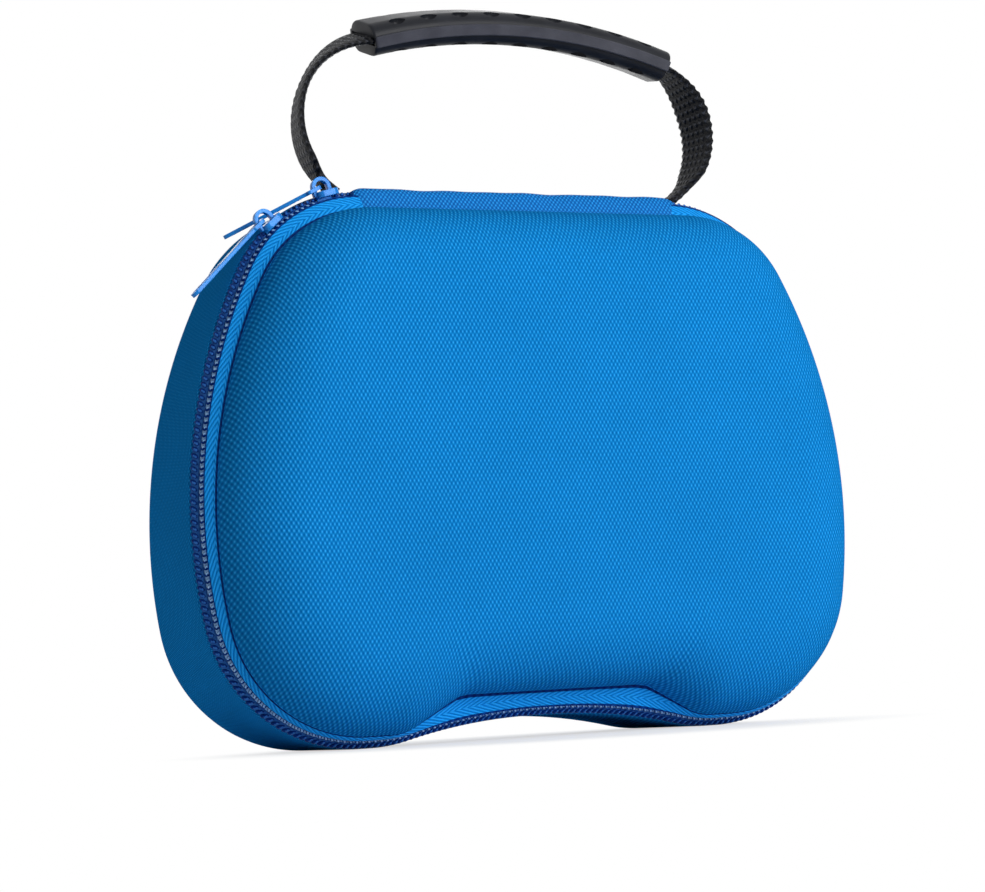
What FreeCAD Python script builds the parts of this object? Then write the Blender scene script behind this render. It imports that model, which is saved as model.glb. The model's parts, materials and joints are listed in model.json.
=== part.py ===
"""Hard-shell storage case for a game controller: two moulded shells, a zip round three sides,
a woven spine strip along the top and a webbing carry handle with a moulded grip.

Millimetres, +Z up, front towards -Y. The zip lies in the plane y = 0 and the case stands on z = 0.
"""
import os
from math import asin, atan2, cos, degrees, radians, sin

import FreeCAD
import Part
from FreeCAD import Vector

# Seam outline, seen from the front: tangent arcs from the straight top round one side to the bottom
top_half_length = 45.0
corner_radius = 36.5
corner_turn = 62.4
side_radius = 141.0
side_turn = 38.0
lobe_radius = 39.8
seam_foot = 3.85
seam_rise_turn = 13.8
seam_slant = 1.0
seam_flat_half = 2.1

# Shells
shell_wall = 3.5
front_depth = 25.0
rear_depth = 47.0
rear_round = 13.0
rear_mouth = 2.9
back_lean = 5.0

# Front rim: narrower than the seam, a little lower, with a flat notch between the lobes
rim_setback = 4.6
rim_inset = 4.8
rim_drop = 1.7
rim_foot = 6.0
rim_rise_radius = 14.0
rim_rise_turn = 30.0
rim_slant = 12.0
rim_notch_radius = 8.0
face_inset = 21.0
face_drop = -3.0
face_rise_turn = 16.0
face_slant = 6.0
face_notch_radius = 20.0
dome_angles = (0, 18, 36, 54, 72, 90)

# Zip
chain_inset = 1.5
coil_height = 1.8
coil_width = 2.0
coil_gap = 1.2
tape_thickness = 1.2
tape_lap = 8.0
tape_seat = 0.2
zip_end_gap = 0.2

# Spine strip along the top
strip_thickness = 1.6
strip_crown = 0.5

# Handle
web_width = 12.4
web_thickness = 1.8
web_setback = 4.5
web_root_out = 3.8
web_root_lift = 0.2
web_root_overrun = 8.0
web_bulge_left_out = 9.3
web_bulge_right_out = 11.4
web_bulge_height = 18.0
web_root_front = 2.7
web_root_rear = 8.6
web_taper_start = 8.0
web_taper_end = 16.0
grip_half = 43.2
grip_rise = 46.4
grip_shift = 5.1
grip_lean = 2.3
grip_arc_radius = 148.0
grip_width = 15.6
grip_height = 8.0
grip_band_height = 3.0
grip_band_relief = 0.7
grip_slot_clearance = 0.15
leaf_count = 9
leaf_pitch = 8.4
leaf_length = 5.2
leaf_width = 2.6
leaf_depth = 0.6
leaf_tilt = 30.0

# Sliders and pulls
lower_slider_angle = 42.5
upper_slider_angle = 15.0
slider_back = 4.0
slider_front = 2.0
slider_half_width = 2.6
slider_rear_half_width = 2.2
slider_thickness = 1.6
slider_corner_round = 1.6
slider_lift = 0.4
post_thickness = 0.5
post_length = 4.0
bail_radius = 2.1
bail_bar = 1.0
bail_width = 1.6
bail_leg = 1.3
pull_length = 26.0
pull_width = 3.4
pull_thickness = 1.0
pull_eye_length = 3.4
pull_eye_wall = 0.8
pull_eye_clearance = 0.35
pull_slot_length = 9.0
pull_slot_width = 1.5
lower_pull_tilt = 3.0
upper_pull_tilt = 11.8
upper_pull_yaw = 24.0

# Worked-out places
coil_mid_inset = coil_height / 2
half_gap = coil_gap / 2
coil_outer_y = half_gap + coil_width
lobe_turn = 180.0 - corner_turn - side_turn


def arc_drop(radius, start, end):
    """How far an arc falls while its heading turns from start to end degrees past level."""
    return radius * (cos(radians(start)) - cos(radians(end)))


seam_height = (arc_drop(corner_radius, 0, corner_turn)
               + arc_drop(side_radius, corner_turn, corner_turn + side_turn)
               + arc_drop(lobe_radius, corner_turn + side_turn, 180.0))
corner_centre = Vector(-top_half_length, 0, seam_height - corner_radius)
coil_radius = corner_radius - chain_inset - coil_mid_inset
cut_size = 4 * seam_height
web_root_half = top_half_length + web_root_out


def lobe_offset():
    """How far the lowest point of a lobe lies from the middle plane."""
    side_end = sin(radians(corner_turn + side_turn))
    corner_end = sin(radians(corner_turn))
    return (top_half_length + corner_radius * corner_end + side_radius * (side_end - corner_end)
            - lobe_radius * side_end)


seam_rise_run = lobe_offset() - seam_foot - seam_flat_half - seam_slant * cos(radians(seam_rise_turn))
seam_notch_radius = seam_rise_run / sin(radians(seam_rise_turn)) - lobe_radius


def outline(y, inset, drop, foot, rise_radius, rise_turn, slant, notch_radius):
    """Closed symmetric wire in the plane y: every section of the case has these same edges."""
    steps = [(corner_radius - inset, corner_turn), (side_radius - inset, side_turn),
             (lobe_radius - inset, lobe_turn), (None, foot), (rise_radius, rise_turn),
             (None, slant), (notch_radius, -rise_turn)]
    place = Vector(-top_half_length, y, seam_height - inset - drop)
    heading = 180.0
    left = []
    for radius, amount in steps:
        way = Vector(cos(radians(heading)), 0, sin(radians(heading)))
        if radius is None:
            end = place + way * amount
            left.append((place, None, end))
        else:
            side = 1 if amount > 0 else -1
            centre = place + Vector(-way.z, 0, way.x) * (side * radius)
            middle = centre + turned(place - centre, amount / 2)
            end = centre + turned(place - centre, amount)
            left.append((place, middle, end))
            heading += amount
        place = end
    edges = [line_or_arc(flip(left[0][0]), None, left[0][0])]
    edges += [line_or_arc(*step) for step in left]
    edges.append(line_or_arc(place, None, flip(place)))
    edges += [line_or_arc(flip(end), middle and flip(middle), flip(start))
              for start, middle, end in reversed(left)]
    return Part.Wire(edges)


def turned(arm, angle):
    """An arm in the XZ plane turned anticlockwise as seen from the front."""
    c, s = cos(radians(angle)), sin(radians(angle))
    return Vector(arm.x * c - arm.z * s, arm.y, arm.x * s + arm.z * c)


def flip(point):
    return Vector(-point.x, point.y, point.z)


def line_or_arc(start, middle, end):
    if middle is None:
        return Part.LineSegment(start, end).toShape()
    return Part.Arc(start, middle, end).toShape()


def seam_wire(y, inset):
    return outline(y, inset, 0, seam_foot, lobe_radius - inset, seam_rise_turn, seam_slant,
                   seam_notch_radius + inset)


def rim_wire(y, inset, fade=0.0):
    """A front shell section; fade goes from 0 at the notched rim to 1 at the smooth face."""
    def mix(rim, face):
        return rim + (face - rim) * fade
    return outline(y, rim_inset + inset, mix(rim_drop, face_drop), rim_foot, rim_rise_radius,
                   mix(rim_rise_turn, face_rise_turn), mix(rim_slant, face_slant),
                   mix(rim_notch_radius, face_notch_radius))


def band(outer_wires, inner_wires):
    """Ring between two ruled lofts."""
    return Part.makeLoft(outer_wires, True, True).cut(Part.makeLoft(inner_wires, True, True))


def box(x0, x1, y0, y1, z0, z1):
    return Part.makeBox(x1 - x0, y1 - y0, z1 - z0, Vector(x0, y0, z0))


def open_at_spine(ring, left_end):
    """Takes the stretch under the spine strip out of a zip ring."""
    right_end = top_half_length + zip_end_gap
    half_height = seam_height / 2
    return ring.cut(box(left_end, right_end, -cut_size, cut_size, half_height, cut_size))


def front_dome(skin):
    """Domed form of the front shell, skin mm inside its outer face: one round from rim to flat face."""
    reach = front_depth - rim_setback - skin
    close = face_inset - skin
    sections = []
    for angle in dome_angles:
        y = -rim_setback - reach * sin(radians(angle))
        inset = skin + close * (1 - cos(radians(angle)))
        sections.append(rim_wire(y, inset, angle / dome_angles[-1]))
    return Part.makeLoft(sections, True, False)


def front_shell():
    return front_dome(0).cut(front_dome(shell_wall))


def rear_dome(skin, mouth):
    """Rear shell form: straight walls, then one round all the way to the flat back, which leans forward."""
    middle = seam_height / 2
    face = Part.Face(seam_wire(mouth, skin))
    block = face.extrude(Vector(0, cut_size, 0))
    behind = box(-cut_size, cut_size, rear_depth - skin, 3 * cut_size, -cut_size, cut_size)
    behind.rotate(Vector(0, rear_depth - skin, middle), Vector(1, 0, 0), back_lean)
    block = block.cut(behind)
    back = max(block.Faces, key=lambda face: face.CenterOfMass.y)
    return block.makeFillet(rear_round - skin, back.Edges)


def rear_shell():
    return rear_dome(0, rear_mouth).cut(rear_dome(shell_wall, rear_mouth - shell_wall))


def front_zip_tape():
    near, far = -coil_outer_y, -rim_setback
    near_inset = chain_inset + tape_seat
    ring = band([seam_wire(near, near_inset), rim_wire(far, 0)],
                [seam_wire(near, near_inset + tape_thickness), rim_wire(far, tape_thickness)])
    return open_at_spine(ring, -top_half_length - zip_end_gap)


def rear_zip_tape():
    lap_inset = shell_wall + tape_seat
    inner = lap_inset + tape_thickness
    edge = band([seam_wire(coil_outer_y, tape_seat), seam_wire(rear_mouth, tape_seat)],
                [seam_wire(coil_outer_y, inner), seam_wire(rear_mouth, inner)])
    lap = band([seam_wire(rear_mouth, lap_inset), seam_wire(rear_mouth + tape_lap, lap_inset)],
               [seam_wire(rear_mouth, inner), seam_wire(rear_mouth + tape_lap, inner)])
    return open_at_spine(edge.fuse(lap).removeSplitter(), -top_half_length - zip_end_gap)


def zip_coil(y, left_end):
    inner = chain_inset + coil_height
    ring = band([seam_wire(y, chain_inset), seam_wire(y + coil_width, chain_inset)],
                [seam_wire(y, inner), seam_wire(y + coil_width, inner)])
    return open_at_spine(ring, left_end)


def front_coil_start():
    """The front chain starts at the nose of the upper slider, which covers its end."""
    angle = upper_slider_angle + degrees(asin((slider_front + bail_bar) / coil_radius))
    return corner_centre.x - coil_radius * sin(radians(angle))


def spine_strip():
    top = seam_height + strip_crown
    front_low = seam_height - rim_inset - rim_drop
    bend_y = -coil_outer_y
    profile = [(-rim_setback, front_low), (bend_y, seam_height - tape_seat), (0, top), (rear_mouth, top),
               (rear_mouth, top - strip_thickness), (0, top - strip_thickness),
               (bend_y + strip_thickness / 2, seam_height - tape_seat - strip_thickness),
               (-rim_setback, front_low - strip_thickness)]
    points = [Vector(-top_half_length, y, z) for y, z in profile]
    face = Part.Face(Part.makePolygon(points + points[:1]))
    return face.extrude(Vector(2 * top_half_length, 0, 0))


def arc_through(tangent_x, tangent_z, x, z):
    """Radius and turn of an arc that leaves (tangent_x, tangent_z) straight up or down and meets (x, z)."""
    across, along = tangent_x - x, abs(z - tangent_z)
    return (across ** 2 + along ** 2) / (2 * across), 2 * degrees(atan2(across, along))


def bent_strip(centre_x, centre_z, radius, start, turn, width, thickness):
    """Flat strip bent round a Y axis at (centre_x, centre_z), from start degrees above +X."""
    half = thickness / 2
    y0 = web_setback - width / 2
    corners = [Vector(radius - half, y0, 0), Vector(radius + half, y0, 0),
               Vector(radius + half, y0 + width, 0), Vector(radius - half, y0 + width, 0)]
    face = Part.Face(Part.makePolygon(corners + corners[:1]))
    strip = face.revolve(Vector(), Vector(0, -1, 0), turn)
    strip.rotate(Vector(), Vector(0, -1, 0), start)
    strip.translate(Vector(centre_x, 0, centre_z))
    return strip


def grip_arc():
    """Centre, half angle and the left and right ends of the grip's arc, which leans a little to the right."""
    up = turned(Vector(0, 0, 1), -grip_lean)
    centre = Vector(grip_shift, 0, seam_height + grip_rise) - up * grip_arc_radius
    half_angle = degrees(asin(grip_half / grip_arc_radius))
    ends = [centre + turned(up, angle) * grip_arc_radius for angle in (half_angle, -half_angle)]
    return centre, half_angle, ends


def along_grip(width, thickness, overrun=0.0):
    """Flat strip along the grip's arc, overrun degrees longer at each end."""
    centre, half_angle, _ = grip_arc()
    reach = half_angle + overrun
    return bent_strip(centre.x, centre.z, grip_arc_radius, 90 - grip_lean - reach, 2 * reach, width, thickness)


def web_root_cutter():
    """Wedges that pinch both faces of the webbing towards its sewn root."""
    low = seam_height - web_taper_start
    start = seam_height + web_taper_start
    end = seam_height + web_taper_end
    wide = web_width
    front = [(web_root_front, low), (web_root_front, start), (web_setback - web_width / 2, end),
             (web_setback - wide, end), (web_setback - wide, low)]
    rear = [(web_root_rear, low), (web_root_rear, start), (web_setback + web_width / 2, end),
            (web_setback + wide, end), (web_setback + wide, low)]
    wedges = []
    for profile in (front, rear):
        points = [Vector(-cut_size, y, z) for y, z in profile]
        wedges.append(Part.Face(Part.makePolygon(points + points[:1])).extrude(Vector(2 * cut_size, 0, 0)))
    return wedges[0].fuse(wedges[1])


def web_leg(bulge_out, end_x, end_z):
    """Right-hand leg of the webbing, from the seam out to its bulge and in to the grip's end."""
    root_z = seam_height + web_root_lift
    bulge_x = web_root_half + bulge_out
    bulge_z = root_z + web_bulge_height
    low_radius, low_turn = arc_through(bulge_x, bulge_z, web_root_half, root_z)
    high_radius, high_turn = arc_through(bulge_x, bulge_z, end_x, end_z)
    low_turn += web_root_overrun
    low = bent_strip(bulge_x - low_radius, bulge_z, low_radius, -low_turn, low_turn, web_width, web_thickness)
    high = bent_strip(bulge_x - high_radius, bulge_z, high_radius, 0, high_turn, web_width, web_thickness)
    leg = low.fuse(high).cut(web_root_cutter())
    return leg.cut(box(-cut_size, cut_size, -cut_size, cut_size, 0, root_z))


def handle_webbing():
    _, _, (left_end, right_end) = grip_arc()
    left = web_leg(web_bulge_left_out, -left_end.x, left_end.z).mirror(Vector(), Vector(1, 0, 0))
    right = web_leg(web_bulge_right_out, right_end.x, right_end.z)
    return left.fuse([right, along_grip(web_width, web_thickness)]).removeSplitter()


def leaf_cutters():
    """Leaf-shaped recesses in rows along the four rounded shoulders of the grip."""
    centre, _, _ = grip_arc()
    shoulder = grip_shoulder()
    axis_y = grip_width / 2 - grip_band_relief - shoulder
    axis_z = grip_height / 2 - shoulder
    bottom = shoulder - leaf_depth
    points = [Vector(-leaf_length / 2, 0, bottom), Vector(leaf_length / 2, 0, bottom)]
    sides = [Part.Arc(points[0], Vector(0, bulge, bottom), points[1]).toShape()
             for bulge in (-leaf_width / 2, leaf_width / 2)]
    leaf = Part.Face(Part.Wire(sides)).extrude(Vector(0, 0, 2 * leaf_depth))
    cutters = []
    for number in range(leaf_count):
        step = (number - (leaf_count - 1) / 2) * leaf_pitch
        swing = grip_lean + degrees(step / grip_arc_radius)
        for rear in (-1, 1):
            for upper in (-1, 1):
                cutter = leaf.copy()
                cutter.rotate(Vector(), Vector(1, 0, 0), -rear * leaf_tilt)
                if upper < 0:
                    cutter = cutter.mirror(Vector(), Vector(0, 0, 1))
                cutter.translate(Vector(0, web_setback + rear * axis_y, upper * axis_z + grip_arc_radius))
                cutter.rotate(Vector(), Vector(0, 1, 0), swing)
                cutter.translate(centre)
                cutters.append(cutter)
    return cutters


def grip_shoulder():
    """Radius of the grip's rounded shoulders."""
    return grip_height / 2 - grip_band_height / 2 + grip_band_relief


def handle_grip():
    body = along_grip(grip_width - 2 * grip_band_relief, grip_height)
    long_edges = [e for e in body.Edges if e.Length > grip_half]
    body = body.makeFillet(grip_shoulder(), long_edges)
    body = body.cut(leaf_cutters())
    facets = along_grip(grip_width, grip_band_height)
    slot = along_grip(web_width + 2 * grip_slot_clearance, web_thickness + 2 * grip_slot_clearance,
                      web_root_overrun)
    return body.fuse(facets).cut(slot).removeSplitter()


def slider_centre_height():
    """Height of the bail's centre over the coil's middle line."""
    return coil_mid_inset + slider_lift + slider_thickness + bail_leg


def slider(angle):
    """One slider, built over the top of the corner arc and turned down to its place on it."""
    x, z = corner_centre.x, corner_centre.z + coil_radius
    under = z + coil_mid_inset + slider_lift
    over = under + slider_thickness
    plate = box(x - slider_front, x + slider_back, -slider_half_width, slider_rear_half_width, under, over)
    corners = [e for e in plate.Edges if abs(e.tangentAt(e.FirstParameter).z) > 0.9]
    plate = plate.makeFillet(slider_corner_round, corners)
    post_end = z - coil_mid_inset - slider_lift
    post = box(x - slider_front, x - slider_front + post_length, -post_thickness / 2, post_thickness / 2,
               post_end - slider_thickness / 2, under + slider_thickness / 2)
    foot = box(x - slider_front, x + slider_back - slider_front, -post_thickness / 2, slider_rear_half_width,
               post_end - slider_thickness, post_end)
    body = plate.fuse([post, foot, bail(x, z, over)])
    body.rotate(corner_centre, Vector(0, 1, 0), -angle)
    return body.removeSplitter()


def bail(x, z, over):
    """Arch that carries the pull: a half ring on two short legs."""
    centre_z = z + slider_centre_height()
    sink = slider_thickness / 2
    inner, outer = bail_radius - bail_bar / 2, bail_radius + bail_bar / 2
    y0 = -bail_width / 2
    ring = Part.makeCylinder(outer, bail_width, Vector(x, y0, centre_z), Vector(0, 1, 0))
    ring = ring.fuse(box(x - outer, x + outer, y0, -y0, over - sink, centre_z))
    hole = Part.makeCylinder(inner, bail_width, Vector(x, y0, centre_z), Vector(0, 1, 0))
    hole = hole.fuse(box(x - inner, x + inner, y0, -y0, over, centre_z))
    below = box(x - outer, x + outer, y0, -y0, z - outer, over - sink)
    return ring.cut(hole).cut(below)


def pull(angle, tilt, yaw):
    """Flat tab with an eye round the bail and a long slot near its rounded tip."""
    x, z = corner_centre.x, corner_centre.z + coil_radius + slider_centre_height()
    half = pull_width / 2
    eye_mid = x - bail_radius
    eye_half = bail_width / 2 + pull_eye_clearance + pull_eye_wall
    eye_inner = eye_mid + pull_eye_length / 2
    z0 = z - pull_thickness / 2
    eye = box(eye_mid - pull_eye_length / 2 - pull_eye_wall, eye_inner, -eye_half, eye_half, z0, z0 + pull_thickness)
    uprights = [e for e in eye.Edges if abs(e.tangentAt(e.FirstParameter).z) > 0.9]
    eye = eye.makeFillet(pull_eye_wall, uprights)
    tip = eye_mid - pull_length + half
    shank = box(tip, eye_mid - pull_eye_length / 2, -half, half, z0, z0 + pull_thickness)
    shank = shank.fuse(Part.makeCylinder(half, pull_thickness, Vector(tip, 0, z0)))
    slot_half = pull_slot_width / 2
    slot = box(tip, tip + pull_slot_length, -slot_half, slot_half, z0, z0 + pull_thickness)
    for end in (tip, tip + pull_slot_length):
        slot = slot.fuse(Part.makeCylinder(slot_half, pull_thickness, Vector(end, 0, z0)))
    shank = shank.cut(slot)
    shank.rotate(Vector(eye_mid, 0, z), Vector(0, 0, 1), -yaw)
    hole_half = bail_width / 2 + pull_eye_clearance
    hole = box(eye_mid - bail_bar / 2 - pull_eye_clearance, eye_mid + bail_bar / 2 + pull_eye_clearance,
               -hole_half, hole_half, z0, z0 + pull_thickness)
    tab = eye.fuse(shank).cut(hole)
    tab.rotate(Vector(x, 0, z), Vector(0, 1, 0), -tilt)
    tab.rotate(corner_centre, Vector(0, 1, 0), -angle)
    return tab.removeSplitter()


parts = {
    "front_shell": front_shell(),
    "rear_shell": rear_shell(),
    "front_zip_tape": front_zip_tape(),
    "rear_zip_tape": rear_zip_tape(),
    "front_zip_coil": zip_coil(-coil_outer_y, front_coil_start()),
    "rear_zip_coil": zip_coil(half_gap, -top_half_length - zip_end_gap),
    "spine_strip": spine_strip(),
    "handle_webbing": handle_webbing(),
    "handle_grip": handle_grip(),
    "lower_slider": slider(lower_slider_angle),
    "lower_pull": pull(lower_slider_angle, lower_pull_tilt, 0),
    "upper_slider": slider(upper_slider_angle),
    "upper_pull": pull(upper_slider_angle, upper_pull_tilt, upper_pull_yaw),
}

os.makedirs("parts", exist_ok=True)
for name, shape in parts.items():
    shape.exportStep(f"parts/{name}.step")
    b = shape.BoundBox
    print(f"{name}: {len(shape.Solids)} solid, valid {shape.isValid()}, {shape.Volume:.0f} mm3, "
          f"x {b.XMin:.1f}..{b.XMax:.1f} y {b.YMin:.1f}..{b.YMax:.1f} z {b.ZMin:.1f}..{b.ZMax:.1f}")
print(f"seam height {seam_height:.2f}, corner centre {corner_centre.x:.2f}, {corner_centre.z:.2f}, "
      f"coil radius {coil_radius:.2f}, bail centre {slider_centre_height():.2f} over the coil")
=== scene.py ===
# %% [markdown]
# # A hard-shell controller case
# This lesson dresses a packed construction model of a blue zip case. The frame gives every piece's place,
# in metres, and each cell below adds one piece or one finish around it.

# %% The frame
import json
from math import asin, atan2, cos, pi, radians, sin, sqrt, tan

import bmesh
import bpy
from mathutils import Matrix, Vector

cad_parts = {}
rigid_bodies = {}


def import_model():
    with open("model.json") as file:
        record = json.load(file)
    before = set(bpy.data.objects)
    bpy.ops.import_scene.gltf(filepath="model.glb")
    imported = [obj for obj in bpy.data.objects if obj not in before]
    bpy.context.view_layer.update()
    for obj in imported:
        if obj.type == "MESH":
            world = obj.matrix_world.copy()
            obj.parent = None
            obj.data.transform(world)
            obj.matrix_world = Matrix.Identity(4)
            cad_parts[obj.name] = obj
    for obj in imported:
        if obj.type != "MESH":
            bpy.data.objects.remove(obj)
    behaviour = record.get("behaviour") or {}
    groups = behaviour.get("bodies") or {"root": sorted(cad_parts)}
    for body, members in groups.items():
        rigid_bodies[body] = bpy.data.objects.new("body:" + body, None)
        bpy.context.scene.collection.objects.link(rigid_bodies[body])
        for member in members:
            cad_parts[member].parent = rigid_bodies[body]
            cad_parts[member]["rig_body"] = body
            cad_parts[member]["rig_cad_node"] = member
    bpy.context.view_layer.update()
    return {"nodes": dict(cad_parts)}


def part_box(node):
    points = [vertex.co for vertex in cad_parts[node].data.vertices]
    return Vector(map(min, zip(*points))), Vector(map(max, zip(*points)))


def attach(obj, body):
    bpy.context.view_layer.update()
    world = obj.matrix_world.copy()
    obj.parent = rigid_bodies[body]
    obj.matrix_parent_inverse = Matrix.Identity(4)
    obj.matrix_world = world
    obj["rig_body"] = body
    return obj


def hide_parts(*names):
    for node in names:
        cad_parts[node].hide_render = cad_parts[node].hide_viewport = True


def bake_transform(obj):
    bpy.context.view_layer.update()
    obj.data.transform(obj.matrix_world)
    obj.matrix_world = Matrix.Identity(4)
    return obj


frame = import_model()
MM = 0.001

# %% [markdown]
# ## Selecting and finishing
# An operator works on whatever is selected, so every step starts from nothing selected. The last step of
# every piece is the same too: its material, the body it rides on and the solid it stands for.

# %% Selecting and finishing


def deselect():
    if bpy.context.object and bpy.context.object.mode != "OBJECT":
        bpy.ops.object.mode_set(mode="OBJECT")
    bpy.ops.object.select_all(action="DESELECT")


def activate(piece):
    deselect()
    piece.select_set(True)
    bpy.context.view_layer.objects.active = piece


def edit_all(piece):
    if piece.mode != "EDIT":
        activate(piece)
        bpy.ops.object.mode_set(mode="EDIT")
    bpy.ops.mesh.select_all(action="SELECT")


def face_outwards(piece):
    edit_all(piece)
    bpy.ops.mesh.normals_make_consistent(inside=False)
    bpy.ops.object.mode_set(mode="OBJECT")


def apply_modifiers(piece):
    activate(piece)
    for modifier in list(piece.modifiers):
        bpy.ops.object.modifier_apply(modifier=modifier.name)


def smooth(piece, angle):
    """Shades smoothly over edges that turn by less than the angle in degrees."""
    activate(piece)
    bpy.ops.object.shade_smooth_by_angle(angle=radians(angle))


def dress(piece, slot, node, body, *materials):
    """Gives a piece its finish; a piece with no body is not attached."""
    marks = [face.material_index for face in piece.data.polygons]
    piece.data.materials.clear()
    for material in materials:
        piece.data.materials.append(material)
    for face, mark in zip(piece.data.polygons, marks):
        face.material_index = mark
    if body:
        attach(piece, body)
    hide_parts(node)
    triangles = sum(len(face.vertices) - 2 for face in piece.data.polygons)
    print(f"{piece.name}: {triangles} triangles on {body or 'two bodies'}")


print("ready: selecting and finishing")

# %% [markdown]
# ## Two ways to skin a form
# Moulded and woven forms are skins. One helper extrudes a ring of points onto the next ring again and
# again, as by hand. The other adds a flat grid and bends it: right for anything long that has its own
# cloth coordinates.

# %% Extruded rings


def skin_rings(name, rings):
    """Adds a circle, lays it on the first ring and extrudes it onto each ring that follows."""
    deselect()
    bpy.ops.mesh.primitive_circle_add(vertices=len(rings[0]), radius=MM)
    piece = bpy.context.object
    piece.name = name
    bpy.ops.object.mode_set(mode="EDIT")
    mesh = bmesh.from_edit_mesh(piece.data)
    around = mesh.verts.layers.int.new("around")
    mesh.verts.layers.int.new("level")
    for number, vert in enumerate(mesh.verts):
        vert[around] = number
        vert.co = rings[0][number]
    bmesh.update_edit_mesh(piece.data)
    for number, ring in enumerate(rings[1:], 1):
        bpy.ops.mesh.extrude_region_move()
        mesh = bmesh.from_edit_mesh(piece.data)
        around = mesh.verts.layers.int["around"]
        level = mesh.verts.layers.int["level"]
        for vert in mesh.verts:
            if vert.select:
                vert.co = ring[vert[around]]
                vert[level] = number
        bmesh.update_edit_mesh(piece.data)
    return piece


def close_ends(piece, *levels):
    """Draws the named rings together to a point."""
    for number in levels:
        bpy.ops.mesh.select_all(action="DESELECT")
        mesh = bmesh.from_edit_mesh(piece.data)
        level = mesh.verts.layers.int["level"]
        for vert in mesh.verts:
            vert.select = vert[level] == number
        mesh.select_flush(True)
        bmesh.update_edit_mesh(piece.data)
        bpy.ops.mesh.merge(type="CENTER")


print("ready: extruded rings")

# %% Bent grids
MERGE_DISTANCE = 0.001 * MM


def bend_grid(name, across, along, place, cloth, marked=()):
    """Bends a grid to a closed tube.

    place(i, j) gives a point and cloth(i, j) its cloth coordinates. Marked columns get the second material.
    """
    deselect()
    bpy.ops.mesh.primitive_grid_add(x_subdivisions=across, y_subdivisions=along, size=1)
    piece = bpy.context.object
    piece.name = name
    places = [(round((v.co.x + 0.5) * across), round((v.co.y + 0.5) * along)) for v in piece.data.vertices]
    layer = piece.data.uv_layers.active
    layer.name = "cloth"
    for loop in piece.data.loops:
        layer.data[loop.index].uv = cloth(*places[loop.vertex_index])
    for face in piece.data.polygons:
        face.material_index = int(min(places[v][0] for v in face.vertices) in marked)
    for vert, (i, j) in zip(piece.data.vertices, places):
        vert.co = place(i % across, j)
    edit_all(piece)
    bpy.ops.mesh.remove_doubles(threshold=MERGE_DISTANCE)
    bpy.ops.mesh.select_all(action="DESELECT")
    bpy.ops.mesh.select_non_manifold()
    bpy.ops.mesh.fill_holes(sides=0)
    face_outwards(piece)
    return piece


def lengths_along(points):
    """Distance walked up to each point of a line."""
    total, walked = 0.0, [0.0]
    for before, after in zip(points, points[1:]):
        total += (after - before).length
        walked.append(total)
    return walked


print("ready: bent grids")

# %% [markdown]
# ## Nodes
# A finish is a short chain of nodes. Writing each node on one line keeps the chains readable.

# %% Node helpers


class Finish:
    """One procedural material under construction."""

    def __init__(self, name):
        self.material = bpy.data.materials.new(name)
        self.material.use_nodes = True
        self.nodes = self.material.node_tree.nodes
        self.links = self.material.node_tree.links
        self.shader = self.nodes["Principled BSDF"]

    def add(self, kind, values=None, **settings):
        node = self.nodes.new(kind)
        for key, value in settings.items():
            setattr(node, key, value)
        for key, value in (values or {}).items():
            self.feed(node.inputs[key], value)
        return node

    def feed(self, socket, value):
        if isinstance(value, bpy.types.NodeSocket):
            self.links.new(value, socket)
        else:
            socket.default_value = value

    def math(self, operation, first, second=0.0, third=0.0):
        values = {0: first, 1: second, 2: third}
        return self.add("ShaderNodeMath", values, operation=operation).outputs[0]

    def ramp(self, value, *stops):
        node = self.add("ShaderNodeValToRGB", {"Fac": value})
        elements = node.color_ramp.elements
        while len(elements) < len(stops):
            elements.new(0.5)
        for element, (place, colour) in zip(elements, stops):
            element.position = place
            element.color = (*colour, 1.0)
        return node.outputs["Color"]

    def tint(self, colour, shade):
        """The colour darkened or lightened by a number from nodes."""
        values = {0: colour, "Scale": shade}
        return self.add("ShaderNodeVectorMath", values, operation="SCALE").outputs[0]

    def cloth(self):
        node = self.add("ShaderNodeUVMap", uv_map="cloth")
        parts = self.add("ShaderNodeSeparateXYZ", {"Vector": node.outputs["UV"]})
        return node.outputs["UV"], parts.outputs["X"], parts.outputs["Y"]

    def place(self):
        return self.add("ShaderNodeTexCoord").outputs["Object"]

    def wave(self, value, period):
        """Cosine of a length, one turn per period."""
        return self.math("COSINE", self.math("MULTIPLY", value, 2 * pi / period))

    def ripple(self, value, period):
        """The same wave between 0 and 1."""
        return self.math("MULTIPLY_ADD", self.wave(value, period), 0.5, 0.5)

    def noise(self, vector, scale, detail=2.0):
        values = {"Vector": vector, "Scale": scale, "Detail": detail}
        return self.add("ShaderNodeTexNoise", values).outputs["Fac"]

    def spread(self, value, low, high):
        """Stretches 0 to 1 over another span."""
        return self.math("MULTIPLY_ADD", value, high - low, low)

    def bump(self, height, distance, strength):
        values = {"Height": height, "Distance": distance, "Strength": strength}
        return self.add("ShaderNodeBump", values).outputs["Normal"]

    def done(self, colour, roughness, normal, gloss=0.5, more=None):
        values = {"Base Color": colour, "Roughness": roughness, "Normal": normal}
        values["Specular IOR Level"] = gloss
        values.update(more or {})
        for key, value in values.items():
            self.feed(self.shader.inputs[key], value)
        print("finish:", self.material.name)
        return self.material


print("ready: nodes")

# %% [markdown]
# ## Shell cloth
# The shells are faced with a plain oxford weave. Its yarns show as staggered light floats with darker gaps
# between them. The product of two cosines on the cloth's own coordinates is such a checkered lattice. A fine
# noise makes the yarns uneven and a broad one the whole cloth. The cloth is matt, so it has no gloss.

# %% Oxford weave
FLOAT_PITCH, FLOAT_ROW = 1.1 * MM, 0.93 * MM
YARN_SCALE, BROAD_SCALE = 1400.0, 30.0


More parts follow.
